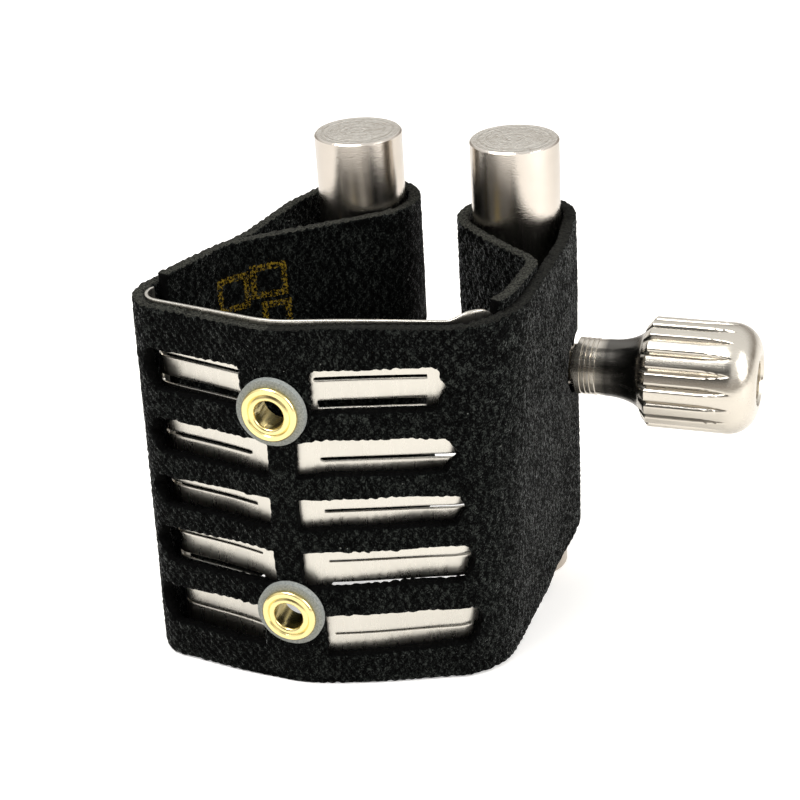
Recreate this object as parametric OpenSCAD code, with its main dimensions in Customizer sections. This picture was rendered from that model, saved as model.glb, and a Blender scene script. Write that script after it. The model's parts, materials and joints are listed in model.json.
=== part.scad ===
// Fabric saxophone ligature, loosened and standing on its barrels.
// The Z axis is the mouthpiece's axis, X runs along the thumbscrew towards its grip,
// and Z = 0 is the height of the screw.

/* [Barrels] */
// Diameter of both barrels
barrel_d = 8; // [7.5:0.1:8.5]
// Length of both barrels
barrel_len = 43.4; // [40:0.2:46]
// Distance between the barrels' axes
barrel_pitch = 14.68; // [14:0.1:16]
// Bevel at the barrels' ends
barrel_bevel = 0.15; // [0.05:0.05:0.5]

/* [Strap] */
// Thickness of the fabric
strap_t = 1; // [0.8:0.05:1.1]
// Radial slack between a barrel and its loop
loop_slack = 0.35; // [0.2:0.05:0.5]
// Height of the front's upper edge
front_top = 12.9; // [11:0.1:14]
// Height of the left loop's upper edge
left_loop_top = 15.3; // [14.3:0.1:17]
// Height of the right loop's upper edge
right_loop_top = 14.5; // [14.3:0.1:17]
// Height of the loops' lower edge
loop_bottom = -16.4; // [-18:0.1:-15]

/* [Windows] */
// Height of the windows in the middle row
middle_window_h = 3; // [2.5:0.1:3.2]
// Height of the windows in the rows next to it
inner_window_h = 3.4; // [2.8:0.1:3.6]
// Height of the windows in the top row
top_window_h = 3.9; // [3:0.1:4.2]
// Height of the windows in the bottom row
bottom_window_h = 4.1; // [3.5:0.1:4.3]
// Distance from the middle row to the next rows
inner_row = 5.4; // [5.2:0.1:5.6]
// Distance from the middle row to the outer rows
outer_row = 11.8; // [11.7:0.1:12.2]

/* [Eyelets] */
// Diameter of the brass flange
eyelet_d = 5; // [4.6:0.1:5.4]
// Diameter of the hole through an eyelet
eyelet_hole_d = 2.6; // [2:0.1:2.8]
// Diameter of the grey washer
washer_d = 6.1; // [6:0.1:6.8]

/* [Plate] */
// Thickness of the spring steel
plate_t = 0.3; // [0.2:0.05:0.4]
// How far the plate stands above the front's upper edge
plate_proud = 0.6; // [0.3:0.1:1.2]
// Distance from one slot of the plate to the next
slot_pitch = 2.52; // [2.4:0.02:2.6]
// Height of most slots
slot_h = 0.35; // [0.25:0.05:0.5]
// Height of the two slots that stand open
open_slot_h = 0.8; // [0.5:0.1:1.2]

/* [Thumbscrew] */
// Thread diameter
thread_d = 4; // [3.5:0.1:4]
// Diameter of the grip
grip_d = 10.2; // [9.5:0.1:11]
// Length of the grip without its neck
grip_len = 10.1; // [9:0.1:11]
// Length of the neck between the strap and the grip
neck_len = 6.5; // [6:0.1:8]
// Number of grooves round the grip
grooves = 20; // [16:1:26]

/* [Hidden] */
$fn = 64;
far = 60;
hair = 0.05;

// Places in plan: the screw's line, the two barrels and the corners of the strap's middle line
screw_y = 13;
screw_mid_x = 4.5;
left_axis = [screw_mid_x - barrel_pitch / 2, screw_y];
right_axis = [screw_mid_x + barrel_pitch / 2, screw_y];
middle_bend = [-2.7, -11.8];
left_corner = [-17.25, -8.85];
right_corner = [15.41, -7.53];
left_hinge = [-15.7, -5.27];
right_hinge = [15.72, -3.1];
middle_r = 10;
left_r = 2.5;
right_r = 6;

// Loops of strap round the barrels
loop_in_r = barrel_d / 2 + loop_slack;
loop_mid_r = loop_in_r + strap_t / 2;
left_flap_dir = 213;
right_flap_dir = 315;
flap_end_gap = 1;
loop_steps = 40;
glue_t = 0.06;
glue_len = 5;
hinge_clear = 0.12;

// Screw holes
thread_clear = 0.2;
shank_clear = 0.05;
strap_hole_r = thread_d / 2 + 0.7;
stud_engaged = 5.2;
shoulder_x = right_axis[0] + loop_in_r + strap_t + 0.3;

// Rows of windows, counted from the middle row
front_bottom = -barrel_len / 2;
rows = [outer_row, inner_row, 0, -inner_row, -outer_row];
window_h = [top_window_h, inner_window_h, middle_window_h, inner_window_h, bottom_window_h];
row_mid_z = -4.5;
eyelet_mid_z = -4.15;
eyelet_dz = 9.9;
window_near = [[2.9, 1.1, 1.1, 1.2, 2.9], [3.1, 1.5, 1.3, 1.2, 2.8]];
window_far = [12.5, 14.7];
window_lean = [0.03, 0.1];
slots_each_way = 6;
open_slots = [4, -3];
slot_near = 3.1;
slot_far = [11.2, 14.4];

// Eyelets sit on the outside of the middle bend, on an axis along Y
bend_half = 12.4;
front_y = middle_bend[1] + middle_r * (1 / cos(bend_half) - 1) - strap_t / 2;
washer_t = 0.6;
flange_t = 0.55;
eyelet_wall = 0.35;
plate_gap = 0.05;
plate_in_y = front_y + strap_t + plate_gap + plate_t;

function unit(v) = v / norm(v);
function turned(v, a) = [v[0] * cos(a) - v[1] * sin(a), v[0] * sin(a) + v[1] * cos(a)];
function dir(a) = [cos(a), sin(a)];
function left_of(v) = [-v[1], v[0]];
function reversed(list) = [for (i = [len(list) - 1:-1:0]) list[i]];
function angle_of(v) = atan2(v[1], v[0]);
function wrapped(a) = a > 180 ? a - 360 : a < -180 ? a + 360 : a;

// Points of the arc of radius r that rounds the corner b between a and c
function fillet(a, b, c, r, steps) =
    let (u = unit(a - b), v = unit(c - b),
         half = acos(u * v) / 2,
         mid = b + unit(u + v) * r / sin(half),
         from = b + u * r / tan(half) - mid,
         to = b + v * r / tan(half) - mid,
         sweep = wrapped(angle_of(to) - angle_of(from)))
    [for (i = [0:steps]) mid + turned(from, sweep * i / steps)];

// The point where the line through p along u meets the line through q along v
function crossing(p, u, q, v) = p + u * ((q - p) * left_of(v)) / (u * left_of(v));

// A path moved sideways by d, to the left of its direction of travel
function beside(path, d) =
    [for (i = [0:len(path) - 1])
        let (before = i > 0 ? unit(path[i] - path[i - 1]) : unit(path[1] - path[0]),
             after = i < len(path) - 1 ? unit(path[i + 1] - path[i]) : before,
             bisector = unit(left_of(before) + left_of(after)))
        path[i] + bisector * d / (bisector * left_of(before))];

module ribbon(path, t, shift = 0) {
    polygon(concat(beside(path, shift + t / 2), reversed(beside(path, shift - t / 2))));
}

// The strap's middle line along the front, from hinge to hinge
front_path = concat(
    [left_hinge],
    fillet(left_hinge, left_corner, middle_bend, left_r, 10),
    fillet(left_corner, middle_bend, right_corner, middle_r, 6),
    fillet(middle_bend, right_corner, right_hinge, right_r, 12),
    [right_hinge]);

left_panel = unit(left_corner - middle_bend);
right_panel = unit(right_corner - middle_bend);

// Direction of a wall that leaves its hinge and touches its loop, turned to the given side
function wall_dir(hinge, axis, side) =
    angle_of(axis - hinge) - side * asin(loop_mid_r / norm(axis - hinge));
left_wall_dir = wall_dir(left_hinge, left_axis, -1);
right_wall_dir = wall_dir(right_hinge, right_axis, 1);

// Side view of the strap: its upper and lower edges fall towards the front
module edge_profile(loop_top) {
    rotate([90, 0, 90])
        translate([0, 0, -far])
            linear_extrude(2 * far)
                polygon([[-14, front_bottom], [-5, front_bottom + 0.4], [1, front_bottom + 0.9],
                         [5.5, front_bottom + 1.6], [9, front_bottom + 3.3], [15.3, loop_bottom],
                         [20, loop_bottom], [20, loop_top], [12, loop_top], [6, front_top + 1.2],
                         [-6, front_top + 0.7], [-14, front_top]]);
}

module tall() {
    translate([0, 0, -far / 2]) linear_extrude(far) children();
}

module along_x(r, from, to) {
    translate([from, screw_y, 0]) rotate([0, 90, 0]) cylinder(r = r, h = to - from);
}

// A box in a panel of the front: from near to far along the panel, centred on height z
module panel_box(side, near, outer, z, height) {
    panel = side == 0 ? left_panel : right_panel;
    depth = 6;
    translate([middle_bend[0], middle_bend[1], z])
        rotate([0, 0, angle_of(panel)])
            translate([near, -depth / 2, -height / 2])
                cube([outer - near, depth, height]);
}

module windows() {
    for (side = [0, 1], i = [0:len(rows) - 1]) {
        outer = window_far[side] - window_lean[side] * rows[i];
        panel_box(side, window_near[side][i], outer, row_mid_z + rows[i], window_h[i]);
    }
}

module slots() {
    for (side = [0, 1], i = [-slots_each_way:slots_each_way]) {
        height = len(search(i, open_slots)) > 0 ? open_slot_h : slot_h;
        lower_edge = row_mid_z + i * slot_pitch - slot_h / 2;
        panel_box(side, slot_near, slot_far[side], lower_edge + height / 2, height);
    }
}

module eyelet_bores(r) {
    for (s = [-1, 1])
        translate([middle_bend[0], 0, eyelet_mid_z + s * eyelet_dz])
            rotate([90, 0, 0]) cylinder(r = r, h = far / 2);
}

// The front of the strap, from one hinge to the other
module strap_front() {
    color([0.09, 0.09, 0.1])
        difference() {
            intersection() {
                tall() ribbon(front_path, strap_t);
                edge_profile(left_loop_top);
            }
            windows();
            eyelet_bores(eyelet_hole_d / 2 + eyelet_wall + 0.02);
        }
}

// One arm: wall, loop round the barrel and flap glued to the inside of the wall.
// It starts a little past its hinge, which leaves room to swing.
// side is 1 for an arm whose loop turns to the left of the wall, and -1 for the mirror image
module arm(hinge, axis, side, wall_angle, flap_angle, loop_top) {
    along = dir(wall_angle);
    inward = left_of(along) * side;
    glue_line = hinge + inward * (strap_t + glue_t) / 2;
    inner_wall = hinge + inward * (strap_t + glue_t);
    leave = axis + dir(flap_angle - side * 90) * loop_mid_r;
    flap_meets = crossing(leave, dir(flap_angle), inner_wall, along);
    flap_end = inner_wall + along * flap_end_gap;
    start = wall_angle - side * 90;
    sweep = side * ((side * (flap_angle - wall_angle) + 360) % 360);
    loop_path = [for (i = [0:loop_steps]) axis + loop_mid_r * dir(start + sweep * i / loop_steps)];
    intersection() {
        tall() {
            ribbon(concat([hinge + along * hinge_clear], loop_path, [flap_meets, flap_end]), strap_t);
            ribbon([glue_line + along * (flap_end_gap + glue_t), glue_line + along * glue_len], 4 * glue_t);
        }
        edge_profile(loop_top);
    }
}

module strap_left_arm() {
    color([0.1, 0.1, 0.11])
        difference() {
            arm(left_hinge, left_axis, -1, left_wall_dir, left_flap_dir, left_loop_top);
            along_x(strap_hole_r, left_axis[0], screw_mid_x);
        }
}

module strap_right_arm() {
    color([0.1, 0.1, 0.11])
        difference() {
            arm(right_hinge, right_axis, 1, right_wall_dir, right_flap_dir, right_loop_top);
            along_x(strap_hole_r, screw_mid_x, shoulder_x);
        }
}

// Slotted spring steel plate that lies inside the front and wraps both corners
module cradle_plate() {
    inset = (strap_t + plate_t) / 2 + plate_gap;
    low = front_bottom + 0.3;
    high = front_top + plate_proud;
    last = len(front_path) - 8;
    plate_path = [for (i = [1:last]) front_path[i]];
    color([0.8, 0.8, 0.82])
        difference() {
            translate([0, 0, low]) linear_extrude(high - low) ribbon(plate_path, plate_t, inset);
            slots();
            eyelet_bores(eyelet_hole_d / 2 + eyelet_wall + 0.02);
        }
}

// Its inner flange is flat and rests on the bent plate at both sides of the bend
module eyelet(height) {
    r = eyelet_hole_d / 2;
    tube_r = r + eyelet_wall;
    flange_r = eyelet_d / 2;
    back_r = tube_r + 0.8;
    plate_rise = back_r * tan(bend_half) / 2 + 0.1;
    length = plate_in_y + plate_rise - front_y + washer_t + 2 * flange_t + 0.1;
    bead = flange_t / 2;
    color([0.86, 0.7, 0.3])
        translate([middle_bend[0], front_y - washer_t - flange_t - 0.05, height])
            rotate([-90, 0, 0])
                rotate_extrude()
                    polygon(concat(
                        [[r + bead, 0], [flange_r - bead, 0]],
                        [for (a = [-60:30:90]) [flange_r - bead + bead * cos(a), bead + bead * sin(a)]],
                        [[tube_r, flange_t], [tube_r, length - flange_t], [back_r, length - flange_t],
                         [back_r - 0.2, length], [r + 0.3, length], [r, length - 0.3], [r, bead]]));
}

module washer(height) {
    color([0.45, 0.46, 0.47])
        translate([middle_bend[0], front_y - 0.02, height])
            rotate([90, 0, 0])
                difference() {
                    cylinder(d = washer_d, h = washer_t);
                    translate([0, 0, -hair])
                        cylinder(r = eyelet_hole_d / 2 + eyelet_wall + 0.02, h = washer_t + 2 * hair);
                }
}

module upper_eyelet() { eyelet(eyelet_mid_z + eyelet_dz); }
module lower_eyelet() { eyelet(eyelet_mid_z - eyelet_dz); }
module upper_washer() { washer(eyelet_mid_z + eyelet_dz); }
module lower_washer() { washer(eyelet_mid_z - eyelet_dz); }

// A turned barrel with bevelled ends and a cross hole for the screw
module barrel(axis, hole_r) {
    r = barrel_d / 2;
    half = barrel_len / 2;
    color([0.75, 0.74, 0.72])
        difference() {
            translate([axis[0], axis[1], 0])
                rotate_extrude()
                    polygon([[0, -half], [r - barrel_bevel, -half],
                             [r, barrel_bevel - half], [r, half - barrel_bevel],
                             [r - barrel_bevel, half], [0, half]]);
            along_x(hole_r, axis[0] - barrel_d, axis[0] + barrel_d);
        }
}

module left_barrel() { barrel(left_axis, thread_d / 2 + thread_clear); }
module right_barrel() { barrel(right_axis, thread_d / 2 + shank_clear); }

stud_tip = left_axis[0] + barrel_d / 2 - stud_engaged;
grip_start = shoulder_x + neck_len;
grip_end = grip_start + grip_len;
stud_end = grip_end - 0.6;
end_recess_r = thread_d / 2 - 0.2;

// Threaded stud, thinner where it is pressed into the grip
module screw_stud() {
    tip_bevel = 0.5;
    color([0.7, 0.7, 0.7])
        translate([stud_tip, screw_y, 0])
            rotate([0, 90, 0])
                rotate_extrude()
                    polygon([[0, 0], [thread_d / 2 - tip_bevel, 0], [thread_d / 2, tip_bevel],
                             [thread_d / 2, shoulder_x - stud_tip], [end_recess_r, shoulder_x - stud_tip],
                             [end_recess_r, stud_end - stud_tip], [0, stud_end - stud_tip]]);
}

// Grip turned in one piece with its neck: a flare from neck to grip and a domed end
module grip_body() {
    neck_r = 2.65;
    r = grip_d / 2;
    rim = 0.5;
    dome = 2.6;
    neck_straight = 2.4;
    flare_len = neck_len - neck_straight;
    flare_high = r - 0.7 - neck_r;
    translate([shoulder_x, screw_y, 0])
        rotate([0, 90, 0])
            rotate_extrude()
                polygon(concat(
                    [[end_recess_r, 0], [neck_r, 0]],
                    [for (a = [0:10:90])
                        [neck_r + flare_high * (1 - cos(a)), neck_straight + flare_len * sin(a)]],
                    [[r, neck_len + rim]],
                    [for (a = [0:10:80])
                        [r - dome + dome * cos(a), neck_len + grip_len - dome + dome * sin(a)]],
                    [[r - dome, neck_len + grip_len], [end_recess_r, neck_len + grip_len]]));
}

module screw_grip() {
    groove_w = 0.8;
    color([0.78, 0.77, 0.76])
        difference() {
            grip_body();
            translate([grip_start - 1, screw_y, 0])
                for (i = [0:grooves - 1])
                    rotate([i * 360 / grooves, 0, 0])
                        translate([0, 0, grip_d / 2 + groove_w / 4])
                            rotate([0, 90, 0]) rotate([0, 0, 45])
                                translate([-groove_w / 2, -groove_w / 2, 0])
                                    cube([groove_w, groove_w, grip_len - 1]);
        }
}

strap_front();
strap_left_arm();
strap_right_arm();
cradle_plate();
upper_eyelet();
lower_eyelet();
upper_washer();
lower_washer();
left_barrel();
right_barrel();
screw_stud();
screw_grip();
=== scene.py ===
"""Looks of the fabric saxophone ligature, built round its CAD frame.

Lengths are in millimetres until a mesh is made. s is a distance along the strap, from the bend in the middle
of its front round a barrel to the end of its flap. side is -1 for the left half and 1 for the right half.
"""
import json
import math

import bmesh
import bpy
import numpy as np
from mathutils import Matrix, Vector, noise

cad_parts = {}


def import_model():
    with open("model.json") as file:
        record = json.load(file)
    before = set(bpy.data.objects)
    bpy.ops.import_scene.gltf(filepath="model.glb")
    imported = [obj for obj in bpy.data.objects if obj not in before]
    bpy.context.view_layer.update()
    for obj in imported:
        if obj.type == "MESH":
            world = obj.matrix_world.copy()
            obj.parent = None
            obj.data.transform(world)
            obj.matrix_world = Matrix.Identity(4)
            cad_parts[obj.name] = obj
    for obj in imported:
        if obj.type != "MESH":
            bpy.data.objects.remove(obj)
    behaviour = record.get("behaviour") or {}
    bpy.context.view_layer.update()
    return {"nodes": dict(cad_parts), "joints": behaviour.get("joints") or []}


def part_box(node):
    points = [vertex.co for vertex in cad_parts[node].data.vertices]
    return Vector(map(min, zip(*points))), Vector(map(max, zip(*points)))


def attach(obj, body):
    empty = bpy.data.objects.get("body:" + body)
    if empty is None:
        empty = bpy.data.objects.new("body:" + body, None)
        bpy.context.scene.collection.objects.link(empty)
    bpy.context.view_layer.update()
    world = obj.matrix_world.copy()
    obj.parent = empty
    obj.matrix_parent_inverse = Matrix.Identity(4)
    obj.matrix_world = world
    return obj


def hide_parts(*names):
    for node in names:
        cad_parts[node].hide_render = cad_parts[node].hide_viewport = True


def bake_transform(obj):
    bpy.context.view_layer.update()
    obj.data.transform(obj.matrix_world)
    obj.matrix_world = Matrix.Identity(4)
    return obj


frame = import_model()
MM = 0.001


def middle(node):
    """Centre of a CAD node's box, in millimetres."""
    low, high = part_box(node)
    return (low + high) / 2 / MM


def size(node):
    """Size of a CAD node's box, in millimetres."""
    low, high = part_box(node)
    return (high - low) / MM


def joint_place(name):
    """Place of an upright joint in plan, in millimetres."""
    joint = next(j for j in frame["joints"] if j["name"] == name)
    return Vector(joint["pos_m"][:2]) / MM


# Driving dimensions, read from the frame
BARREL_R = size("left_barrel").x / 2
LEFT_AXIS = middle("left_barrel").xy
RIGHT_AXIS = middle("right_barrel").xy
LEFT_HINGE = joint_place("left_arm_flex")
RIGHT_HINGE = joint_place("right_arm_flex")
SCREW_Y = LEFT_AXIS.y
FLOOR_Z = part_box("left_barrel")[0].z / MM
BEND_X = middle("upper_washer").x
EYELET_Z = (middle("upper_eyelet").z, middle("lower_eyelet").z)
EYELET_HOLE_R = 1.7
FRONT_TOP = 12.9
LOOP_BOTTOM = -16.4

# Larger than any distance on the object
FAR_AWAY = 1e9

# The strap's middle line in plan
STRAP_T = 1.0
BEND = Vector((BEND_X, -11.8))
LEFT_CORNER = Vector((-17.25, -8.85))
RIGHT_CORNER = Vector((15.41, -7.53))
BEND_R, LEFT_CORNER_R, RIGHT_CORNER_R = 10, 2.5, 6
LOOP_SLACK = 0.35
LOOP_R = BARREL_R + LOOP_SLACK + STRAP_T / 2
GLUE_T = 0.1

# One stitch of the knit along and across the strip, and the scale of the strip's UV map
STITCH = (0.78, 0.85)
UV_SCALE = 0.01

# Rows of windows: middle height from ROW_MID, height, distances of the left and right windows' near ends from
# the bend, and how much lower the right window sits. The right windows climb by RIGHT_CLIMB per millimetre
# away from the bend. TIP is the length of the blunt tip at a window's far end.
ROW_MID = -4.5
ROWS = ((11.8, 3.9, 2.9, 3.1, 0.05), (5.4, 3.4, 1.0, 1.45, -0.1), (0, 3.0, 1.2, 1.3, -0.05),
        (-5.55, 3.7, 1.3, 1.15, 0), (-11.85, 4.1, 3.0, 2.75, 0.35))
RIGHT_CLIMB = 0.027
TIP = 0.9
SLOT_PITCH = 2.52


# ---------------------------------------------------------------- lines in plan

def unit_at(degrees):
    """Unit vector in a direction given in degrees."""
    return Vector((math.cos(math.radians(degrees)), math.sin(math.radians(degrees))))


def left_of(v):
    """The vector turned a quarter turn to the left."""
    return Vector((-v.y, v.x))


def heading(v):
    """Direction of a vector in degrees."""
    return math.degrees(math.atan2(v.y, v.x))


def fillet(a, b, c, r, steps):
    """Points of the arc of radius r that rounds the corner b between a and c."""
    u, v = (a - b).normalized(), (c - b).normalized()
    half = math.acos(u.dot(v)) / 2
    centre = b + (u + v).normalized() * r / math.sin(half)
    start = heading(b + u * r / math.tan(half) - centre)
    end = heading(b + v * r / math.tan(half) - centre)
    sweep = (end - start + 180) % 360 - 180
    return [centre + unit_at(start + sweep * i / steps) * r for i in range(steps + 1)]


def crossing(p, u, q, v):
    """Where the line through p along u meets the line through q along v."""
    return p + u * (q - p).dot(left_of(v)) / u.dot(left_of(v))


def wall_and_loop(before_hinge, hinge, axis, side, flap_dir, flap_r, flap_past):
    """Points of the middle line from the hinge round the barrel to the end of the glued flap, which ends
    flap_past beyond the hinge, inside the points before_hinge. side is 1 for a loop that turns left."""
    to_axis = axis - hinge
    wall = heading(to_axis) - side * math.degrees(math.asin(LOOP_R / to_axis.length))
    along = unit_at(wall)
    inner = hinge + left_of(along) * side * (STRAP_T + GLUE_T)
    start = wall - side * 90
    sweep = side * ((side * (flap_dir - wall) + 360) % 360)
    loop_steps, fold_steps = 60, 8
    points = [axis + unit_at(start + sweep * i / loop_steps) * LOOP_R for i in range(loop_steps + 1)]
    meets = crossing(points[-1], unit_at(flap_dir), inner, along)
    leg = [inner]
    for ahead, point in zip(before_hinge[::-1], before_hinge[-2::-1]):
        if (ahead - hinge).length < flap_past:
            leg.append(point + left_of((ahead - point).normalized()) * side * (STRAP_T + GLUE_T))
    return points + fillet(points[-1], meets, inner, flap_r, fold_steps) + leg


class Line:
    """A path in plan that is read by distance along it."""

    def __init__(self, points):
        self.xy = np.array([tuple(p) for p in points])
        steps = np.hypot(*np.diff(self.xy, axis=0).T)
        self.s = np.concatenate(([0], np.cumsum(steps)))
        self.length = self.s[-1]
        self.start = self.xy[1] - self.xy[0]
        self.start = self.start / np.hypot(*self.start)

    def at(self, s):
        """Places and left-hand normals at the distances s."""
        x = np.interp(s, self.s, self.xy[:, 0])
        y = np.interp(s, self.s, self.xy[:, 1])
        before_start = np.minimum(s, 0)[..., None] * self.start
        x, y = x + before_start[..., 0], y + before_start[..., 1]
        step = 0.25
        before = np.clip(s - step, 0, self.length - 2 * step)
        after = before + 2 * step
        dx = np.interp(after, self.s, self.xy[:, 0]) - np.interp(before, self.s, self.xy[:, 0])
        dy = np.interp(after, self.s, self.xy[:, 1]) - np.interp(before, self.s, self.xy[:, 1])
        d = np.hypot(dx, dy)
        return x, y, -dy / d, dx / d

    def nearest(self, point):
        """Distance along the path of its vertex nearest to a point."""
        return self.s[np.argmin(np.hypot(*(self.xy - np.array(point)).T))]


# Steps of half the bend and of the two corners
half_bend, left_steps, right_steps = 12, 12, 16
middle_arc = fillet(LEFT_CORNER, BEND, RIGHT_CORNER, BEND_R, 2 * half_bend)
left_front = (middle_arc[:half_bend + 1][::-1]
              + fillet(BEND, LEFT_CORNER, LEFT_HINGE, LEFT_CORNER_R, left_steps))
right_front = middle_arc[half_bend:] + fillet(BEND, RIGHT_CORNER, RIGHT_HINGE, RIGHT_CORNER_R, right_steps)
LEFT_LINE = Line(left_front + [LEFT_HINGE]
                 + wall_and_loop(left_front, LEFT_HINGE, LEFT_AXIS, side=-1,
                                 flap_dir=213, flap_r=6, flap_past=0))
RIGHT_LINE = Line(right_front + [RIGHT_HINGE]
                  + wall_and_loop(right_front, RIGHT_HINGE, RIGHT_AXIS, side=1,
                                  flap_dir=315, flap_r=3, flap_past=2.6))


def smooth_between(value, places, levels):
    """Reads levels at places, with a soft step from each level to the next."""
    position = np.interp(value, places, np.arange(len(places)))
    base = np.floor(np.minimum(position, len(places) - 1.0001))
    t = position - base
    return np.interp(base + t * t * (3 - 2 * t), np.arange(len(places)), levels)


# Distances to the middles of the two corners and to the right hinge
LEFT_APEX = LEFT_LINE.nearest(left_front[-1 - left_steps // 2])
RIGHT_APEX = RIGHT_LINE.nearest(right_front[-1 - right_steps // 2])
RIGHT_HINGE_S = RIGHT_LINE.nearest(RIGHT_HINGE)

# The right side leans out above TWIST_MID and in below it. The left side leans out below LEFT_LEAN_TOP and
# bulges below TWIST_MID. Both leans are in millimetres per millimetre of height.
TWIST_MID = -4
LEFT_LEAN_TOP = 13
RIGHT_LEAN = 0.11
LEFT_LEAN = 1 / 35


def twist(s, height, side):
    """How far the strap stands outside its middle line at distance s and a height. The right corner leans
    out at the top and the left corner at the bottom, where the left panel also bulges a little."""
    if side > 0:
        places = (4, RIGHT_APEX, RIGHT_HINGE_S + 3, RIGHT_HINGE_S + 10, RIGHT_HINGE_S + 17)
        share = smooth_between(s, places, (0, 0.6, 0.55, 0.45, 0))
        return RIGHT_LEAN * (height - TWIST_MID) * share
    low = np.clip((TWIST_MID - height) / (TWIST_MID - FLOOR_Z), 0, 1)
    bulge = smooth_between(s, (1, 6, 12), (0, 0.5, 0))
    lean = smooth_between(s, (5, LEFT_APEX, LEFT_APEX + 9), (0, 1, 0))
    return low * bulge + (LEFT_LEAN_TOP - height) * LEFT_LEAN * lean


# ---------------------------------------------------------------- sheets with holes

def wobble(s, z, scale, seed):
    """Smooth noise from -1 to 1 over two arrays of one shape."""
    flat = [noise.noise((a * scale, b * scale, seed)) for a, b in zip(s.ravel(), z.ravel())]
    return np.array(flat).reshape(s.shape)


def outline_distance(s, z, outline):
    """Distance from each point to a closed outline, negative inside it."""
    best = np.full(s.shape, FAR_AWAY)
    inside = np.zeros(s.shape, bool)
    for (ax, ay), (bx, by) in zip(outline, outline[1:] + outline[:1]):
        dx, dy = bx - ax, by - ay
        t = np.clip(((s - ax) * dx + (z - ay) * dy) / (dx * dx + dy * dy), 0, 1)
        best = np.minimum(best, np.hypot(s - ax - t * dx, z - ay - t * dy))
        crosses = (ay > z) != (by > z)
        if dy:
            inside ^= crosses & (s < ax + (z - ay) * dx / dy)
    return np.where(inside, -best, best)


def snapped_grid(s, z, distance, reach):
    """Moves grid points that lie within reach of a hole's edge on to that edge, and returns the new
    coordinates with the distances, which are 0 on an edge and negative in a hole."""
    d = distance(s, z)
    step = 0.02
    for _ in range(2):
        gs = (distance(s + step, z) - distance(s - step, z)) / (2 * step)
        gz = (distance(s, z + step) - distance(s, z - step)) / (2 * step)
        near = np.abs(d) < reach
        size2 = np.maximum(gs * gs + gz * gz, 0.2)
        s = np.where(near, s - gs * d / size2, s)
        z = np.where(near, z - gz * d / size2, z)
        d = np.where(near, 0, d)
        d = np.where(near, distance(s, z), d)
    return s, z, np.where(near, 0, d)


def sheet(name, s, z, d, place):
    """A mesh of the grid's cells that aren't in a hole, with s and z as its UV map.
    place(s, z) gives x, y and z arrays."""
    xs, ys, zs = place(s, z)
    bm = bmesh.new()
    uv = bm.loops.layers.uv.new("strip")
    verts = {}

    def vertex(i, j):
        if (i, j) not in verts:
            verts[i, j] = bm.verts.new((xs[i, j] * MM, ys[i, j] * MM, zs[i, j] * MM))
        return verts[i, j]

    rows, columns = s.shape
    for i in range(rows - 1):
        for j in range(columns - 1):
            ring = [(i, j), (i, j + 1), (i + 1, j + 1), (i + 1, j)]
            kept = [c for c in ring if d[c] >= 0]
            if len(kept) < 3 or not any(d[c] > 0 for c in kept):
                continue
            face = bm.faces.new([vertex(*c) for c in kept])
            for loop, c in zip(face.loops, kept):
                loop[uv].uv = (s[c] * UV_SCALE, z[c] * UV_SCALE)
    mesh = bpy.data.meshes.new(name)
    bm.to_mesh(mesh)
    bm.free()
    mesh.shade_smooth()
    obj = bpy.data.objects.new(name, mesh)
    bpy.context.scene.collection.objects.link(obj)
    return obj


def apply_modifiers(obj):
    """Turns the object's modifiers into its mesh."""
    graph = bpy.context.evaluated_depsgraph_get()
    mesh = bpy.data.meshes.new_from_object(obj.evaluated_get(graph), preserve_all_data_layers=True,
                                           depsgraph=graph)
    obj.modifiers.clear()
    obj.data = mesh


def thicken(obj, thickness, bevel=0, rim_material=0):
    """Gives a sheet its thickness and, with a bevel, rounds its cut edges."""
    solid = obj.modifiers.new("thickness", "SOLIDIFY")
    solid.thickness = thickness * MM
    solid.offset = 0
    solid.use_even_offset = True
    solid.material_offset_rim = rim_material
    if bevel:
        soft = obj.modifiers.new("soft_edges", "BEVEL")
        soft.width = bevel * MM
        soft.segments = 2
        soft.limit_method = "ANGLE"
        soft.angle_limit = math.radians(62)
    apply_modifiers(obj)


def cut_flat(obj, place, along):
    """Cuts off what lies behind an upright plane and closes the cut, so that two halves meet without a
    groove. Only the front of the strap is cut."""
    bm = bmesh.new()
    bm.from_mesh(obj.data)
    verts = [v for v in bm.verts if v.co.y < LEFT_CORNER.y * MM]
    front = set(verts)
    edges = [e for e in bm.edges if front.issuperset(e.verts)]
    faces = [f for f in bm.faces if front.issuperset(f.verts)]
    geometry = verts + edges + faces
    cut = bmesh.ops.bisect_plane(bm, geom=geometry, dist=1e-7, clear_inner=True,
                                 plane_co=(place[0] * MM, place[1] * MM, 0),
                                 plane_no=(along[0], along[1], 0))
    edges = [e for e in cut["geom_cut"] if isinstance(e, bmesh.types.BMEdge)]
    filled = bmesh.ops.triangle_fill(bm, edges=edges, use_beauty=True)
    for face in filled["geom"]:
        if isinstance(face, bmesh.types.BMFace):
            face.smooth = False
            for edge in face.edges:
                edge.smooth = len(edge.link_faces) != 2 or not any(f.smooth for f in edge.link_faces)
    bmesh.ops.recalc_face_normals(bm, faces=bm.faces)
    bm.to_mesh(obj.data)
    bm.free()


# ---------------------------------------------------------------- materials

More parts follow.
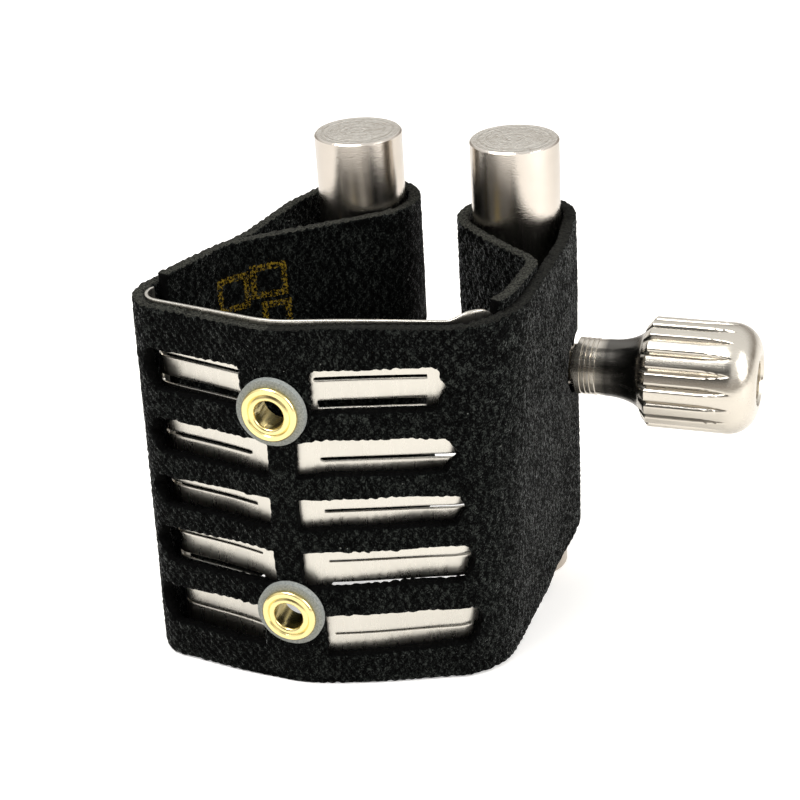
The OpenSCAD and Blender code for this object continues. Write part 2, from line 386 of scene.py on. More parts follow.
class Shader:
    """Short names for building a node material."""

    def __init__(self, name):
        self.material = bpy.data.materials.new(name)
        self.material.use_nodes = True
        self.tree = self.material.node_tree
        self.surface = self.tree.nodes["Principled BSDF"]

    def node(self, kind, **settings):
        made = self.tree.nodes.new(kind)
        for key, value in settings.items():
            if key in made.inputs:
                self.set(made.inputs[key], value)
            else:
                setattr(made, key, value)
        return made

    def set(self, socket, value):
        if isinstance(value, bpy.types.NodeSocket):
            self.tree.links.new(value, socket)
        else:
            socket.default_value = value

    def put(self, **inputs):
        """Sets inputs of the surface; an underscore in a name stands for a space."""
        for key, value in inputs.items():
            self.set(self.surface.inputs[key.replace("_", " ")], value)

    def math(self, operation, a, b=0.0, c=0.0):
        made = self.tree.nodes.new("ShaderNodeMath")
        made.operation = operation
        for socket, value in zip(made.inputs, (a, b, c)):
            self.set(socket, value)
        return made.outputs[0]

    def noise(self, vector, scale, detail=2.0, roughness=0.5):
        made = self.tree.nodes.new("ShaderNodeTexNoise")
        self.set(made.inputs["Vector"], vector)
        self.set(made.inputs["Scale"], scale)
        self.set(made.inputs["Detail"], detail)
        self.set(made.inputs["Roughness"], roughness)
        return made.outputs["Fac"]

    def ramp(self, value, *stops):
        made = self.tree.nodes.new("ShaderNodeValToRGB")
        elements = made.color_ramp.elements
        while len(elements) < len(stops):
            elements.new(0.5)
        for element, (position, color) in zip(elements, stops):
            element.position = position
            element.color = (*color, 1)
        self.set(made.inputs["Fac"], value)
        return made.outputs["Color"]

    def mix(self, factor, a, b):
        made = self.tree.nodes.new("ShaderNodeMix")
        made.data_type = "RGBA"
        self.set(made.inputs["Factor"], factor)
        self.set(made.inputs["A"], a)
        self.set(made.inputs["B"], b)
        return made.outputs["Result"]

    def bump(self, height, distance):
        made = self.tree.nodes.new("ShaderNodeBump")
        self.set(made.inputs["Height"], height)
        made.inputs["Distance"].default_value = distance * MM
        made.inputs["Strength"].default_value = 1
        self.put(Normal=made.outputs["Normal"])

    def place(self, output="Object"):
        return self.tree.nodes.new("ShaderNodeTexCoord").outputs[output]

    def scaled(self, vector, factors):
        made = self.tree.nodes.new("ShaderNodeVectorMath")
        made.operation = "MULTIPLY"
        self.set(made.inputs[0], vector)
        self.set(made.inputs[1], factors)
        return made.outputs[0]


def grey(value):
    """An even grey."""
    return (value, value, value)


def past(sh, value, centre, half):
    """How far a value is outside the range of half on both sides of centre, negative inside it."""
    return sh.math("SUBTRACT", sh.math("ABSOLUTE", sh.math("SUBTRACT", value, centre)), half)


def box_outline(sh, place, centre, half, width):
    """1 on the outline of a box in a flat map, 0 elsewhere."""
    parts = sh.node("ShaderNodeSeparateXYZ", Vector=place)
    across = past(sh, parts.outputs["X"], centre[0], half[0])
    along = past(sh, parts.outputs["Y"], centre[1], half[1])
    distance = sh.math("ABSOLUTE", sh.math("MAXIMUM", across, along))
    return sh.math("LESS_THAN", distance, width / 2)


def wave(sh, value, drift, pitch):
    """A sine wave of a value, shifted by a drift."""
    return sh.math("SINE", sh.math("MULTIPLY", sh.math("ADD", value, drift), 2 * math.pi / pitch))


def fabric_material(name, boxes=()):
    """Black rubberised knit: short upright ribs of uneven length, with fuzz and lint specks. Its colour
    follows the knit's relief: raised stitches get a painted highlight and the hollows painted shade, over the
    knit's own uneven tone. The boxes are printed in worn gold; each has a centre and half sizes in the strip."""
    sh = Shader(name)
    place = sh.scaled(sh.place("UV"), (1 / UV_SCALE, 1 / UV_SCALE, 1))
    grain = sh.noise(sh.scaled(place, (8.0, 5.5, 1)), 1.0, 1, 0.6)
    ribs = sh.noise(sh.scaled(place, (2.6, 0.9, 1)), 1.0, 1, 0.5)
    patches = sh.noise(place, 0.3, 2)
    height = sh.math("MULTIPLY_ADD", grain, 0.6, sh.math("MULTIPLY", ribs, 0.4))
    lit = sh.math("MULTIPLY_ADD", patches, 0.12, sh.math("SUBTRACT", height, 0.06))
    parts = sh.node("ShaderNodeSeparateXYZ", Vector=place)
    drift = sh.math("MULTIPLY", sh.noise(place, 0.5, 1), 1.2)
    across = wave(sh, parts.outputs["X"], drift, STITCH[0])
    along = wave(sh, parts.outputs["Y"], drift, STITCH[1])
    lit = sh.math("MULTIPLY_ADD", sh.math("MULTIPLY", across, along), 0.055, lit)
    # Painted highlight and shade: the colour is lighter on raised stitches and darker in the hollows.
    color = sh.ramp(lit, (0.42, grey(0.0003)), (0.53, (0.0035, 0.0042, 0.0039)),
                    (0.68, (0.032, 0.036, 0.032)))
    specks = sh.node("ShaderNodeTexVoronoi", Vector=place, Scale=0.62)
    lint = sh.math("LESS_THAN", specks.outputs["Distance"], 0.045)
    color = sh.mix(sh.math("MULTIPLY", lint, sh.math("MULTIPLY", grain, 0.8)), color, (0.35, 0.36, 0.33, 1))
    sheen = sh.math("MULTIPLY", sh.math("MAXIMUM", sh.math("SUBTRACT", lit, 0.48), 0.0), 2.2)
    if boxes:
        unworn = sh.math("GREATER_THAN", sh.noise(place, 4.5, 3, 0.7), 0.52)
        line_width = 0.55
        for centre, half in boxes:
            printed = sh.math("MULTIPLY", unworn, box_outline(sh, place, centre, half, line_width))
            color = sh.mix(printed, color, (0.20, 0.13, 0.012, 1))
    sh.put(Base_Color=color, Roughness=0.7, Specular_IOR_Level=0.03, Sheen_Weight=sheen, Sheen_Roughness=0.3)
    sh.bump(height, 0.25)
    return sh.material


def edge_material(name, light):
    """Cut edge of the strap, a little greener than its faces."""
    sh = Shader(name)
    grain = sh.noise(sh.place(), 5500, 4, 0.75)
    color = sh.ramp(grain, (0.40, grey(0.002)), (0.66, (light, light, light * 0.82)))
    sh.put(Base_Color=color, Roughness=0.8, Specular_IOR_Level=0.1)
    sh.bump(grain, 0.25)
    return sh.material


def shaded_cut_material():
    """Cut faces inside the windows and at the ends of the strap, painted much darker than the same cut edge
    on top: a painted shade.
    """
    sh = Shader("shaded_cut_face")
    grain = sh.noise(sh.place(), 4000, 3, 0.7)
    sh.put(Base_Color=sh.ramp(grain, (0.4, grey(0.0006)), (0.75, grey(0.004))), Roughness=0.85,
           Specular_IOR_Level=0.05)
    sh.bump(grain, 0.1)
    return sh.material


def metal_material(name, color, roughness, brushed=(1, 1, 1), grain_scale=2500, wear=0.12, bump=0.004,
                   painted_dark_from=None, painted_dark_to=None):
    """Bright metal whose grain is stretched along the small factor of brushed. Between two places along x,
    given by the last two arguments, its colour is darkened: a painted dark reflection."""
    sh = Shader(name)
    place = sh.place()
    grain = sh.noise(sh.scaled(place, brushed), grain_scale, 4, 0.6)
    patches = sh.noise(place, 260, 3, 0.5)
    dull = tuple(c * 0.8 for c in color)
    tint = sh.mix(sh.math("MULTIPLY", patches, 0.6), (*color, 1), (*dull, 1))
    # Painted dark reflection: the colour is darkened between the two places along x.
    if painted_dark_from is not None:
        x = sh.math("MULTIPLY", sh.node("ShaderNodeSeparateXYZ", Vector=place).outputs["X"], 1 / MM)
        depth = sh.math("MINIMUM", sh.math("SUBTRACT", x, painted_dark_from), sh.math("SUBTRACT", painted_dark_to, x))
        dark = sh.math("MINIMUM", sh.math("MAXIMUM", depth, 0.0), 0.85)
        tint = sh.mix(dark, tint, (*grey(0.03), 1))
    rough = sh.math("MULTIPLY_ADD", grain, wear, roughness - wear / 2)
    sh.put(Base_Color=tint, Metallic=1.0, Roughness=rough)
    sh.bump(grain, bump)
    return sh.material


def barrel_material():
    """Nickel turned on a lathe: fine rings round the upright axis stretch the reflections, and the end faces
    carry fine speckles and are painted lighter than the sides, a painted highlight."""
    sh = Shader("barrel_nickel")
    grain = sh.noise(sh.scaled(sh.place(), (1, 1, 3)), 3000, 4, 0.7)
    from_corner = sh.node("ShaderNodeVectorMath", operation="SUBTRACT")
    sh.set(from_corner.inputs[0], sh.place("Generated"))
    from_corner.inputs[1].default_value = (0.5, 0.5, 0.5)
    radius = sh.node("ShaderNodeVectorMath", operation="LENGTH")
    sh.set(radius.inputs[0], sh.scaled(from_corner.outputs[0], (1, 1, 0)))
    turned = sh.noise(sh.math("MULTIPLY", radius.outputs["Value"], 22), 1.0, 3, 0.6)
    patches = sh.noise(sh.place(), 300, 3)
    tint = sh.mix(patches, (0.80, 0.74, 0.67, 1), (0.60, 0.54, 0.47, 1))
    facing = sh.node("ShaderNodeSeparateXYZ", Vector=sh.node("ShaderNodeNewGeometry").outputs["True Normal"])
    on_end = sh.math("GREATER_THAN", sh.math("ABSOLUTE", facing.outputs["Z"]), 0.9)
    # End faces: a grain of speckles, painted lighter than the sides as a painted highlight.
    speckle_and_highlight = sh.ramp(grain, (0.36, (0.80, 0.74, 0.65)), (0.60, (1.0, 0.97, 0.89)))
    tint = sh.mix(on_end, tint, speckle_and_highlight)
    rings = sh.node("ShaderNodeTangent", direction_type="RADIAL", axis="Z")
    sh.put(Base_Color=tint, Metallic=1.0, Roughness=sh.math("MULTIPLY_ADD", grain, 0.10, 0.10),
           Anisotropic=0.5, Anisotropic_Rotation=0.25, Tangent=rings.outputs["Tangent"])
    sh.bump(sh.math("MULTIPLY_ADD", turned, 1.2, sh.math("MULTIPLY", grain, 0.12)), 0.10)
    return sh.material


def washer_material():
    """Grey fibre with a fine grain."""
    sh = Shader("washer_fibre")
    grain = sh.noise(sh.place(), 6000, 4, 0.7)
    color = sh.ramp(grain, (0.3, (0.15, 0.16, 0.155)), (0.7, (0.40, 0.42, 0.39)))
    sh.put(Base_Color=color, Roughness=0.6)
    sh.bump(grain, 0.03)
    return sh.material


FABRIC = fabric_material("black_weave")
flap_start = LEFT_LINE.nearest(LEFT_AXIS + unit_at(303) * LOOP_R)
MARKED_FABRIC = fabric_material("black_weave_marked",
                                [((flap_start + 13.9, 8.7), (1.5, 1.3)),
                                 ((flap_start + 10.3, 9.2), (1.4, 1.2)),
                                 ((flap_start + 9.8, 6.1), (1.1, 1.0))])
EDGE = edge_material("cut_edge", 0.085)
WORN_EDGE = edge_material("worn_edge", 0.03)
SHADED_CUT = shaded_cut_material()
PLATE = metal_material("plate_steel", (0.73, 0.70, 0.63), 0.28, brushed=(1, 1, 0.15))
BRASS = metal_material("eyelet_brass", (1.0, 0.84, 0.39), 0.24)
BARREL = barrel_material()
neck_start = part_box("screw_grip")[0].x / MM
# The flare of the grip's neck gets a painted dark reflection.
SCREW = metal_material("screw_steel", (0.72, 0.67, 0.585), 0.24, brushed=(0.08, 1, 1), grain_scale=1600,
                       wear=0.3, bump=0.015, painted_dark_from=neck_start + 2.0, painted_dark_to=neck_start + 6.5)
WASHER = washer_material()


def finish_piece(obj, material, body, node):
    """Gives a piece its material and the body it rides on, and hides the CAD node it stands for."""
    obj.data.materials.append(material)
    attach(obj, body)
    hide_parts(node)


# ---------------------------------------------------------------- strap

def window_outline(row, side, lean, far_end):
    """Outline of one window in the strip, with its far end drawn to a blunt tip. lean is how much nearer
    the far end gets per millimetre of height."""
    height_mid, height, left_near, right_near, right_drop = row
    near, z = left_near, ROW_MID + height_mid
    far = far_end - lean * height_mid
    far_z = z
    if side > 0:
        near, z = right_near, z - right_drop
        far_z = z + RIGHT_CLIMB * (far - near)
    h = height / 2
    return [(near, z - h), (near, z + h), (far - TIP, far_z + h * 1.1), (far - TIP * 0.6, far_z + h),
            (far, far_z + h * 0.2), (far - TIP, far_z - h * 0.8), (far - TIP * 1.3, far_z - h * 0.85)]


def strap_edges(line, s, y, loop_top, flap_top):
    """Top and bottom heights of the strip at the distances s, which lie at the depths y in plan."""
    turn = line.s[np.argmax(line.xy[:, 1])]
    wall_top = min(loop_top, 14.1)
    top = np.interp(y, (-13, -6, 5.5, 11, 14), (FRONT_TOP, 13.6, wall_top, loop_top - 0.1, loop_top))
    bottom = np.interp(y, (-13, -5, 1, 5.5, 9, 12.5, 15.3),
                       (FLOOR_Z, FLOOR_Z + 0.4, FLOOR_Z + 0.9, FLOOR_Z + 1.6, FLOOR_Z + 3.0,
                        FLOOR_Z + 4.2, LOOP_BOTTOM))
    in_flap = s > turn
    flap = np.interp(s, (turn, turn + 12, line.length), (loop_top, loop_top, flap_top))
    return np.where(in_flap, flap, top), np.where(in_flap, LOOP_BOTTOM, bottom)


def strap_half(name, line, side, lean, far_end, loop_top, flap_top):
    """Half of the strap, from the middle of its front round a barrel to the end of its flap."""
    cell = 0.2
    columns = np.linspace(-1.5 * cell, line.length, int(line.length / cell) + 2)
    snap_reach = 0.62 * (columns[1] - columns[0])
    rows = np.linspace(FLOOR_Z, FRONT_TOP, int((FRONT_TOP - FLOOR_Z) / cell))
    s, z = np.meshgrid(columns, rows, indexing="ij")
    outlines = [window_outline(row, side, lean, far_end) for row in ROWS]
    widened = 0.06
    screw_hole_r, flat_r = 2.72, 3.2
    turn = line.s[np.argmax(line.xy[:, 1])]
    loop_start = turn - 16
    loop_front_y = 8
    still_top, still_bottom = 9.8, -18.7
    knit_height, waves_height, lumps_height = 0.06, 0.05, 0.04
    wall_points = len(left_front if side < 0 else right_front) + 1

    def distance(s, z):
        d = np.full(s.shape, FAR_AWAY)
        for outline in outlines:
            d = np.minimum(d, outline_distance(s, z, outline) - widened)
        for height in EYELET_Z:
            d = np.minimum(d, np.hypot(s, z - height) - EYELET_HOLE_R)
        x, y, _, _ = line.at(s)
        through = np.hypot(y - SCREW_Y, z) - screw_hole_r
        outer_side = (x < LEFT_AXIS.x) & (side < 0)
        through = np.where((s < loop_start) | outer_side | (y < loop_front_y), FAR_AWAY, through)
        return np.minimum(d, through)

    rough_edge = 0.16 * wobble(s, z, 0.33, 3.0 + side) + 0.04 * wobble(s, z, 1.6, 5.0 + side)
    s, z, d = snapped_grid(s, z, lambda a, b: distance(a, b) + rough_edge, snap_reach)

    def place(s, z):
        x, y, nx, ny = line.at(s)
        top, bottom = strap_edges(line, s, y, loop_top, flap_top)
        from_seam = np.clip(s / 3, 0, 1)
        # The strip is stretched to its edges above and below a still zone, which is tall at the front and
        # shrinks to one height in the walls
        wall = np.clip((y + 9.5) / 5, 0, 1)
        still_high = still_top * (1 - wall) + TWIST_MID * wall
        still_low = still_bottom * (1 - wall) + TWIST_MID * wall
        up = np.clip((z - still_high) / (FRONT_TOP - still_high), 0, 1)
        down = np.clip((still_low - z) / (still_low - FLOOR_Z), 0, 1)
        height = z + (top - FRONT_TOP) * up + (bottom - FLOOR_Z) * down
        rim = (z <= rows[0] + 0.01) | (z >= rows[-1] - 0.01)
        height = height + np.where(rim, 0.06 * wobble(s, z, 1.7, 9.0 + side), 0) * from_seam
        # The flap follows the wall beside it, and the strap is flat where the screw passes through
        in_flap = s > turn
        beside = np.where(in_flap, np.interp(y, line.xy[:wall_points, 1], line.s[:wall_points]), s)
        _, _, wx, wy = line.at(beside)
        near_wall = np.clip((np.abs(x) - 8) / 6, 0, 1) * np.clip((loop_front_y - y) / 5, 0, 1)
        follows = np.where(in_flap, near_wall, 1)
        from_screw = np.hypot(y - SCREW_Y, z)
        clear_of_screw = np.where(y > loop_front_y, np.clip((from_screw - flat_r) / 3, 0, 1), 1)
        out = twist(beside, height, side) * follows * clear_of_screw
        drift = 0.5 * wobble(s, z, 0.4, 50.0 + side)
        knit = np.sin((s + drift) * 2 * np.pi / STITCH[0]) * np.sin((z + drift) * 2 * np.pi / STITCH[1])
        waves = waves_height * wobble(s, z, 0.12, 20.0 + side)
        lumps = lumps_height * wobble(s, z, 0.95, 40.0 + side)
        ripple = (waves + lumps + knit_height * knit) * from_seam * clear_of_screw
        return x - nx * ripple - side * wx * out, y - ny * ripple - side * wy * out, height

    obj = sheet(name, s, z, d, place)
    for material in (MARKED_FABRIC if side < 0 else FABRIC, EDGE, SHADED_CUT, WORN_EDGE):
        obj.data.materials.append(material)
    edge_slot, shaded_cut_slot, worn_slot = 1, 2, 3
    thicken(obj, STRAP_T, rim_material=edge_slot)
    cut_flat(obj, line.xy[0], line.start)
    strip_map = obj.data.uv_layers["strip"].uv
    for polygon in obj.data.polygons:
        if polygon.material_index != edge_slot:
            continue
        # Cut faces off the top edge or not facing up take the painted shade of the shaded cut material.
        if polygon.center.z < (FRONT_TOP - 1) * MM or polygon.normal.z < 0.3:
            polygon.material_index = shaded_cut_slot
        elif side > 0 and strip_map[polygon.loop_start].vector.x < turn * UV_SCALE:
            polygon.material_index = worn_slot
    return obj


strap_left = strap_half("strap_left", LEFT_LINE, side=-1, lean=0.03, far_end=12.9, loop_top=15.3,
                        flap_top=14.5)
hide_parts("strap_front", "strap_left_arm")
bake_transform(strap_left)
strap_right = strap_half("strap_right", RIGHT_LINE, side=1, lean=0.1, far_end=15.6, loop_top=14.5,
                         flap_top=14.5)
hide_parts("strap_right_arm")
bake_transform(strap_right)


# ---------------------------------------------------------------- plate

def plate():
    """Spring steel sheet with rounded slots of uneven height, which bows away from the strap."""
    thickness = 0.3
    gap = (STRAP_T + thickness) / 2 + 0.05
    left_end = LEFT_LINE.nearest(LEFT_HINGE) - 0.8
    right_end = RIGHT_HINGE_S - 2.6
    cell = 0.22
    low = FLOOR_Z + 0.35
    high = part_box("cradle_plate")[1].z / MM
    columns = np.arange(-left_end, right_end, cell)
    rows = np.linspace(low, high, int((high - low) / cell) + 1)
    s, z = np.meshgrid(columns, rows, indexing="ij")
    # Slots are counted up and down from ROW_MID. Some are wider or narrower than the others, and the right
    # ones are shorter from top_row_start up.
    slots_each_way = 6
    top_row_start = 4
    slot_h = 0.34
    wide_h = {4: 0.72, -3: 0.5}
    hairline_h = {-2: 0.16, -5: 0.14, 0: 0.26}
    left_slot = (-13.6, -3.0)
    right_near, right_far, short_far = 3.2, 16.2, 13.1
    round_r = 0.1
    corner_r = 2.0
    slots = []
    for i in range(-slots_each_way, slots_each_way + 1):
        open_h = wide_h.get(i, slot_h)
        middle_z = ROW_MID + i * SLOT_PITCH + (open_h - slot_h) / 2
        half_h = hairline_h.get(i, open_h) / 2
        slots.append((middle_z, half_h, left_slot))
        slots.append((middle_z, half_h, (right_near, right_far if i < top_row_start else short_far)))

    def distance(s, z):
        d = np.full(s.shape, FAR_AWAY)
        for middle_z, half_h, (near, far) in slots:
            mid, half = (near + far) / 2, (far - near) / 2 - half_h
            above = np.abs(z - middle_z) - half_h + round_r
            along = np.abs(s - mid) - half + round_r
            d = np.minimum(d, np.hypot(np.maximum(along, 0), np.maximum(above, 0))
                           + np.minimum(np.maximum(along, above), 0) - round_r)
        for height in EYELET_Z:
            d = np.minimum(d, np.hypot(s, z - height) - EYELET_HOLE_R)
        beyond_s = s - (right_end - corner_r)
        beyond_z = z - (high - corner_r)
        round_off = corner_r - np.hypot(beyond_s, beyond_z)
        return np.where((beyond_s > 0) & (beyond_z > 0), np.minimum(d, round_off), d)

    s, z, d = snapped_grid(s, z, distance, 0.5 * cell)
    left_bow, right_bow = 0.75, 0.2
    # The top edge rises near its right end
    hump_start, hump_high = 9, 0.6

    def place(s, z):
        lx, ly, lnx, lny = LEFT_LINE.at(np.maximum(-s, 0))
        rx, ry, rnx, rny = RIGHT_LINE.at(np.maximum(s, 0))
        left = s < 0
        beside_eyelets = np.clip((np.abs(s) - 1) / 11, 0, 1)
        below_top = smooth_between(z, (9, 12), (1, 0))
        bow = np.where(left, left_bow, right_bow) * beside_eyelets * below_top
        left_out = twist(-s, np.maximum(z, TWIST_MID), -1)
        right_out = twist(s, z, 1) * np.where(z > TWIST_MID, 0.6, 1)
        depth = gap + bow - np.where(left, left_out, right_out)
        x = np.where(left, lx - lnx * depth, rx + rnx * depth)
        y = np.where(left, ly - lny * depth, ry + rny * depth)
        hump = hump_high * smooth_between(s, (right_end - 4.5, right_end - 2.5), (0, 1))
        hump = hump * np.clip((z - hump_start) / (high - hump_start), 0, 1)
        away_from_edges = np.interp(z, (low, low + 3, high - 5, high), (0, 1, 1, 0))
        climb = RIGHT_CLIMB * np.maximum(s - 3, 0) * away_from_edges
        return x, y, z + climb + hump

    obj = sheet("cradle_sheet", s, z, d, place)
    thicken(obj, thickness, bevel=0.05)
    finish_piece(obj, PLATE, "front", "cradle_plate")


plate()


# ---------------------------------------------------------------- turned pieces

def lathe(name, profile, origin, axis, steps, shape=None):
    """A closed turned solid. profile is a loop of (along, radius) points; a radius of 0 closes on the axis.
    shape(angle, along, radius) may change the radius."""
    axis = Vector(axis).normalized()
    across = axis.orthogonal().normalized()
    other = axis.cross(across)
    bm = bmesh.new()
    rings = []
    for along, radius in profile:
        base = Vector(origin) + axis * along
        if radius == 0:
            rings.append([bm.verts.new(base * MM)] * steps)
            continue
        ring = []
        for k in range(steps):
            angle = 2 * math.pi * k / steps
            r = shape(angle, along, radius) if shape else radius
            outward = across * math.cos(angle) + other * math.sin(angle)
            ring.append(bm.verts.new((base + outward * r) * MM))
        rings.append(ring)
    closed = profile[0][1] > 0
    pairs = list(zip(rings, rings[1:] + rings[:1])) if closed else list(zip(rings, rings[1:]))
    for first, second in pairs:
        for k in range(steps):
            n = (k + 1) % steps
            corners = []
            for v in (first[k], first[n], second[n], second[k]):
                if v not in corners:
                    corners.append(v)
            bm.faces.new(corners)
    bmesh.ops.recalc_face_normals(bm, faces=bm.faces)
    mesh = bpy.data.meshes.new(name)
    bm.to_mesh(mesh)
    bm.free()
    mesh.shade_smooth()
    mesh.set_sharp_from_angle(angle=math.radians(38))
    obj = bpy.data.objects.new(name, mesh)
    bpy.context.scene.collection.objects.link(obj)
    return obj


def arc(centre, radius, start, end, steps):
    """Points (along, radius) of an arc in a lathe profile, angles in degrees."""
    return [(centre[0] + radius * math.cos(math.radians(a)), centre[1] + radius * math.sin(math.radians(a)))
            for a in np.linspace(start, end, steps)]


def eyelet(name, height, node):
    """Brass eyelet: a domed flange with a rolled ring round the hole, and a tube to the back flange."""
    low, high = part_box(node)
    depth = (high.y - low.y) / MM
    hole, tube, flange = 1.3, 1.62, 2.5
    steps = 64
    profile = (arc((0.36, flange - 0.34), 0.34, 20, 150, 8)
               + [(0.06, 1.98), (0.19, 1.86), (0.10, 1.74)]
               + arc((0.34, 1.60), 0.30, 200, 285, 7)
               + [(0.8, hole), (1.2, hole + 0.03), (depth - 0.4, hole + 0.30), (depth - 0.1, hole + 0.68)]
               + [(depth, 2.15), (depth - 0.2, 2.35), (depth - 0.45, tube + 0.14), (1.2, tube)]
               + [(0.62, tube), (0.6, flange - 0.5)])
    obj = lathe(name, profile, (BEND_X, low.y / MM, height), (0, 1, 0), steps)
    finish_piece(obj, BRASS, "front", node)


eyelet("upper_eyelet_turned", EYELET_Z[0], "upper_eyelet")
eyelet("lower_eyelet_turned", EYELET_Z[1], "lower_eyelet")


def grip():
    """Grip turned with its neck, with V grooves that run out before the domed end."""
    low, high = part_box("screw_grip")
    start, end = low.x / MM, high.x / MM
    length = end - start
    r = (high.z - low.z) / 2 / MM
    neck = 2.65
    bore = 1.8
    neck_len = 6.5
    ring_start, ring_pitch, ring_depth = 0.2, 0.46, 0.07
    rings = []
    for i in range(4):
        along = ring_start + i * ring_pitch
        rings += [(along, neck), (along + 0.26, neck)]
        rings += [(along + 0.32, neck - ring_depth), (along + 0.40, neck - ring_depth)]
    flare_start, flare_len, flare_r = 2.8, 3.5, r - 0.75
    flare = []
    for angle in np.radians(range(0, 91, 9)):
        opened = neck + (flare_r - neck) * (1 - math.cos(angle))
        flare.append((flare_start + flare_len * math.sin(angle), opened))
    dome_r = 2.6
    dome = arc((length - dome_r, r - dome_r), dome_r, 90, 0, 16)
    body_steps = [(x, r) for x in np.linspace(neck_len + 0.45, length - dome_r - 0.1, 26)]
    profile = ([(0, bore), (0, neck)] + rings + flare + body_steps + dome
               + [(length - 0.02, 2.35), (length - 0.25, 2.2), (length - 0.25, bore)])

    grooves = 20
    groove_depth, groove_slope = 0.42, 1.25
    groove_end, run_out_len = length - 2.2, 2.4

    def cut(angle, along, radius):
        if along < neck_len + 0.2 or radius < r - 1.6:
            return radius
        run_out = min(1, max(0, (groove_end - along) / run_out_len)) ** 0.6
        phase = (angle * grooves / (2 * math.pi)) % 1
        away = min(phase, 1 - phase) * 2 * math.pi * r / grooves
        return radius - max(0, groove_depth * run_out - away * groove_slope)

    steps = grooves * 16
    obj = lathe("grip_turned", profile, (start, SCREW_Y, 0), (1, 0, 0), steps, cut)
    finish_piece(obj, SCREW, "thumbscrew", "screw_grip")


grip()


def stud():
    """Threaded stud with a real helical thread up to the grip, and a smooth end inside it."""
    low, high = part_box("screw_stud")
    start, end = low.x / MM, high.x / MM
    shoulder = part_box("screw_grip")[0].x / MM
    thread_r = (high.z - low.z) / 2 / MM
    pitch, thread_depth = 0.7, 0.36
    seat_r = 1.79
    steps = 40
    thread_len = shoulder - start
    fine = 0.07
    along = np.arange(0.5, thread_len - 0.3, fine)
    profile = ([(0, 0), (0, thread_r - 0.5)] + [(x, thread_r) for x in along]
               + [(thread_len, thread_r), (thread_len, seat_r), (end - start, seat_r), (end - start, 0)])

    def cut(angle, x, radius):
        if radius < thread_r - 0.01 or x > thread_len - 0.5:
            return radius
        phase = (x / pitch + angle / (2 * math.pi)) % 1
        return radius - thread_depth * (1 - abs(2 * phase - 1))

    obj = lathe("stud_threaded", profile, (start, SCREW_Y, 0), (1, 0, 0), steps, cut)
    finish_piece(obj, SCREW, "thumbscrew", "screw_stud")


stud()


# ---------------------------------------------------------------- CAD nodes that stay

def soften(node, material, width):
    """Rounds a CAD node's edges a little and gives it its material."""
    obj = frame["nodes"][node]
    bevel = obj.modifiers.new("soft_edges", "BEVEL")
    bevel.width = width * MM
    bevel.segments = 2
    bevel.limit_method = "ANGLE"
    bevel.angle_limit = math.radians(40)
    obj.data.materials.clear()
    obj.data.materials.append(material)


for node in ("left_barrel", "right_barrel"):
    soften(node, BARREL, 0.08)
for node in ("upper_washer", "lower_washer"):
    soften(node, WASHER, 0.08)


# ---------------------------------------------------------------- floor, light and camera

def floor():
    """White paper just under the object, which the camera sees a little brighter than it is lit."""
    half = 3000 * MM
    mesh = bpy.data.meshes.new("floor")
    z = (FLOOR_Z - 0.02) * MM
    mesh.from_pydata([(-half, -half, z), (half, -half, z), (half, half, z), (-half, half, z)], [],
                     [(0, 1, 2, 3)])
    obj = bpy.data.objects.new("floor", mesh)
    bpy.context.scene.collection.objects.link(obj)
    sh = Shader("paper")
    grain = sh.noise(sh.place(), 3000, 2)
    color = sh.ramp(grain, (0.3, (0.90, 0.88, 0.85)), (0.7, (0.92, 0.90, 0.87)))
    glow = sh.math("MULTIPLY", sh.node("ShaderNodeLightPath").outputs["Is Camera Ray"], 0.35)
    sh.put(Base_Color=color, Roughness=0.6, Specular_IOR_Level=0.1, Emission_Color=(1, 1, 1, 1),
           Emission_Strength=glow)
    mesh.materials.append(sh.material)


def lamp(name, place, width, height, power):
    """A soft box at place that points at the object. The power is in watts."""
    data = bpy.data.lights.new(name, "AREA")
    data.shape = "RECTANGLE"
    data.size, data.size_y = width * MM, height * MM
    data.energy = power
    obj = bpy.data.objects.new(name, data)
    obj.location = Vector(place) * MM
    obj.rotation_mode = "QUATERNION"
    obj.rotation_quaternion = (-Vector(place)).to_track_quat("-Z", "Y")
    bpy.context.scene.collection.objects.link(obj)


def camera_axes():
    """The camera's right, up and back directions. It looks down from the front, a little from the right."""
    around, above, tilt = math.radians(19.767), math.radians(26.627), math.radians(3.635)
    right = Vector((math.cos(around), math.sin(around), 0))
    back = Vector((math.sin(around) * math.cos(above), -math.cos(around) * math.cos(above), math.sin(above)))
    up = back.cross(right)
    return right * math.cos(tilt) - up * math.sin(tilt), right * math.sin(tilt) + up * math.cos(tilt), back


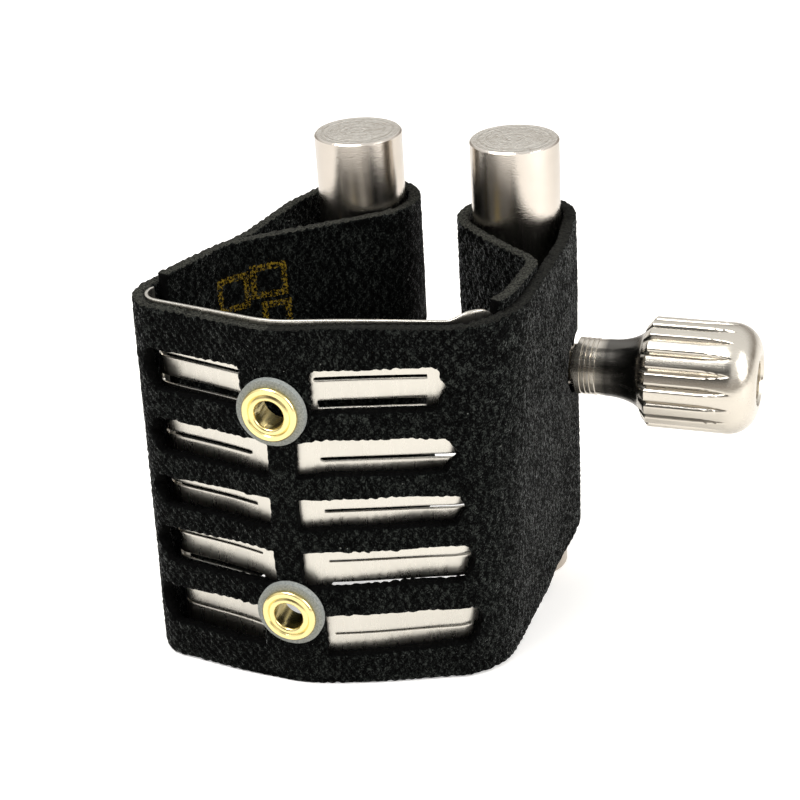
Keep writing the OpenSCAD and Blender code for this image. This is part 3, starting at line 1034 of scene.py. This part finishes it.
def world():
    """White for the camera. Everything else sees a soft room: bright above, mid grey round the horizon,
    with a dark patch high in front of the object."""
    w = bpy.data.worlds.new("studio")
    bpy.context.scene.world = w
    w.use_nodes = True
    tree = w.node_tree
    background = tree.nodes["Background"]
    place = tree.nodes.new("ShaderNodeTexCoord").outputs["Generated"]
    parts = tree.nodes.new("ShaderNodeSeparateXYZ")
    tree.links.new(place, parts.inputs[0])
    sky = tree.nodes.new("ShaderNodeValToRGB")
    tree.links.new(parts.outputs["Z"], sky.inputs["Fac"])
    sky.color_ramp.elements[0].position = 0.15
    sky.color_ramp.elements[0].color = (0.34, 0.31, 0.28, 1)
    sky.color_ramp.elements[1].position = 0.55
    sky.color_ramp.elements[1].color = (0.95, 0.95, 0.95, 1)
    towards = tree.nodes.new("ShaderNodeVectorMath")
    towards.operation = "DOT_PRODUCT"
    tree.links.new(place, towards.inputs[0])
    towards.inputs[1].default_value = Vector((-0.08, -0.80, 0.59)).normalized()
    patch = tree.nodes.new("ShaderNodeMapRange")
    patch.interpolation_type = "SMOOTHSTEP"
    patch.inputs["From Min"].default_value = 0.86
    patch.inputs["From Max"].default_value = 0.97
    patch.inputs["To Min"].default_value = 1.0
    patch.inputs["To Max"].default_value = 0.08
    tree.links.new(towards.outputs["Value"], patch.inputs["Value"])
    room = tree.nodes.new("ShaderNodeVectorMath")
    room.operation = "SCALE"
    tree.links.new(sky.outputs["Color"], room.inputs[0])
    tree.links.new(patch.outputs["Result"], room.inputs["Scale"])
    seen = tree.nodes.new("ShaderNodeMix")
    seen.data_type = "RGBA"
    tree.links.new(tree.nodes.new("ShaderNodeLightPath").outputs["Is Camera Ray"], seen.inputs["Factor"])
    tree.links.new(room.outputs[0], seen.inputs["A"])
    seen.inputs["B"].default_value = (1, 1, 1, 1)
    tree.links.new(seen.outputs["Result"], background.inputs["Color"])


def camera():
    """The camera that frames the object."""
    data = bpy.data.cameras.new("camera")
    data.lens = 82.27
    data.sensor_width = 36
    data.clip_start = 0.01
    obj = bpy.data.objects.new("camera", data)
    obj.matrix_world = Matrix(camera_axes()).transposed().to_4x4()
    obj.matrix_world.translation = Vector((53.25, -136.38, 74.09)) * MM
    bpy.context.scene.collection.objects.link(obj)
    bpy.context.scene.camera = obj


floor()
world()
lamp("key", (-60, -60, 240), width=160, height=120, power=0.5)
lamp("side", (240, -40, 120), width=120, height=160, power=0.4)
camera()
bpy.context.scene.view_settings.view_transform = "Standard"
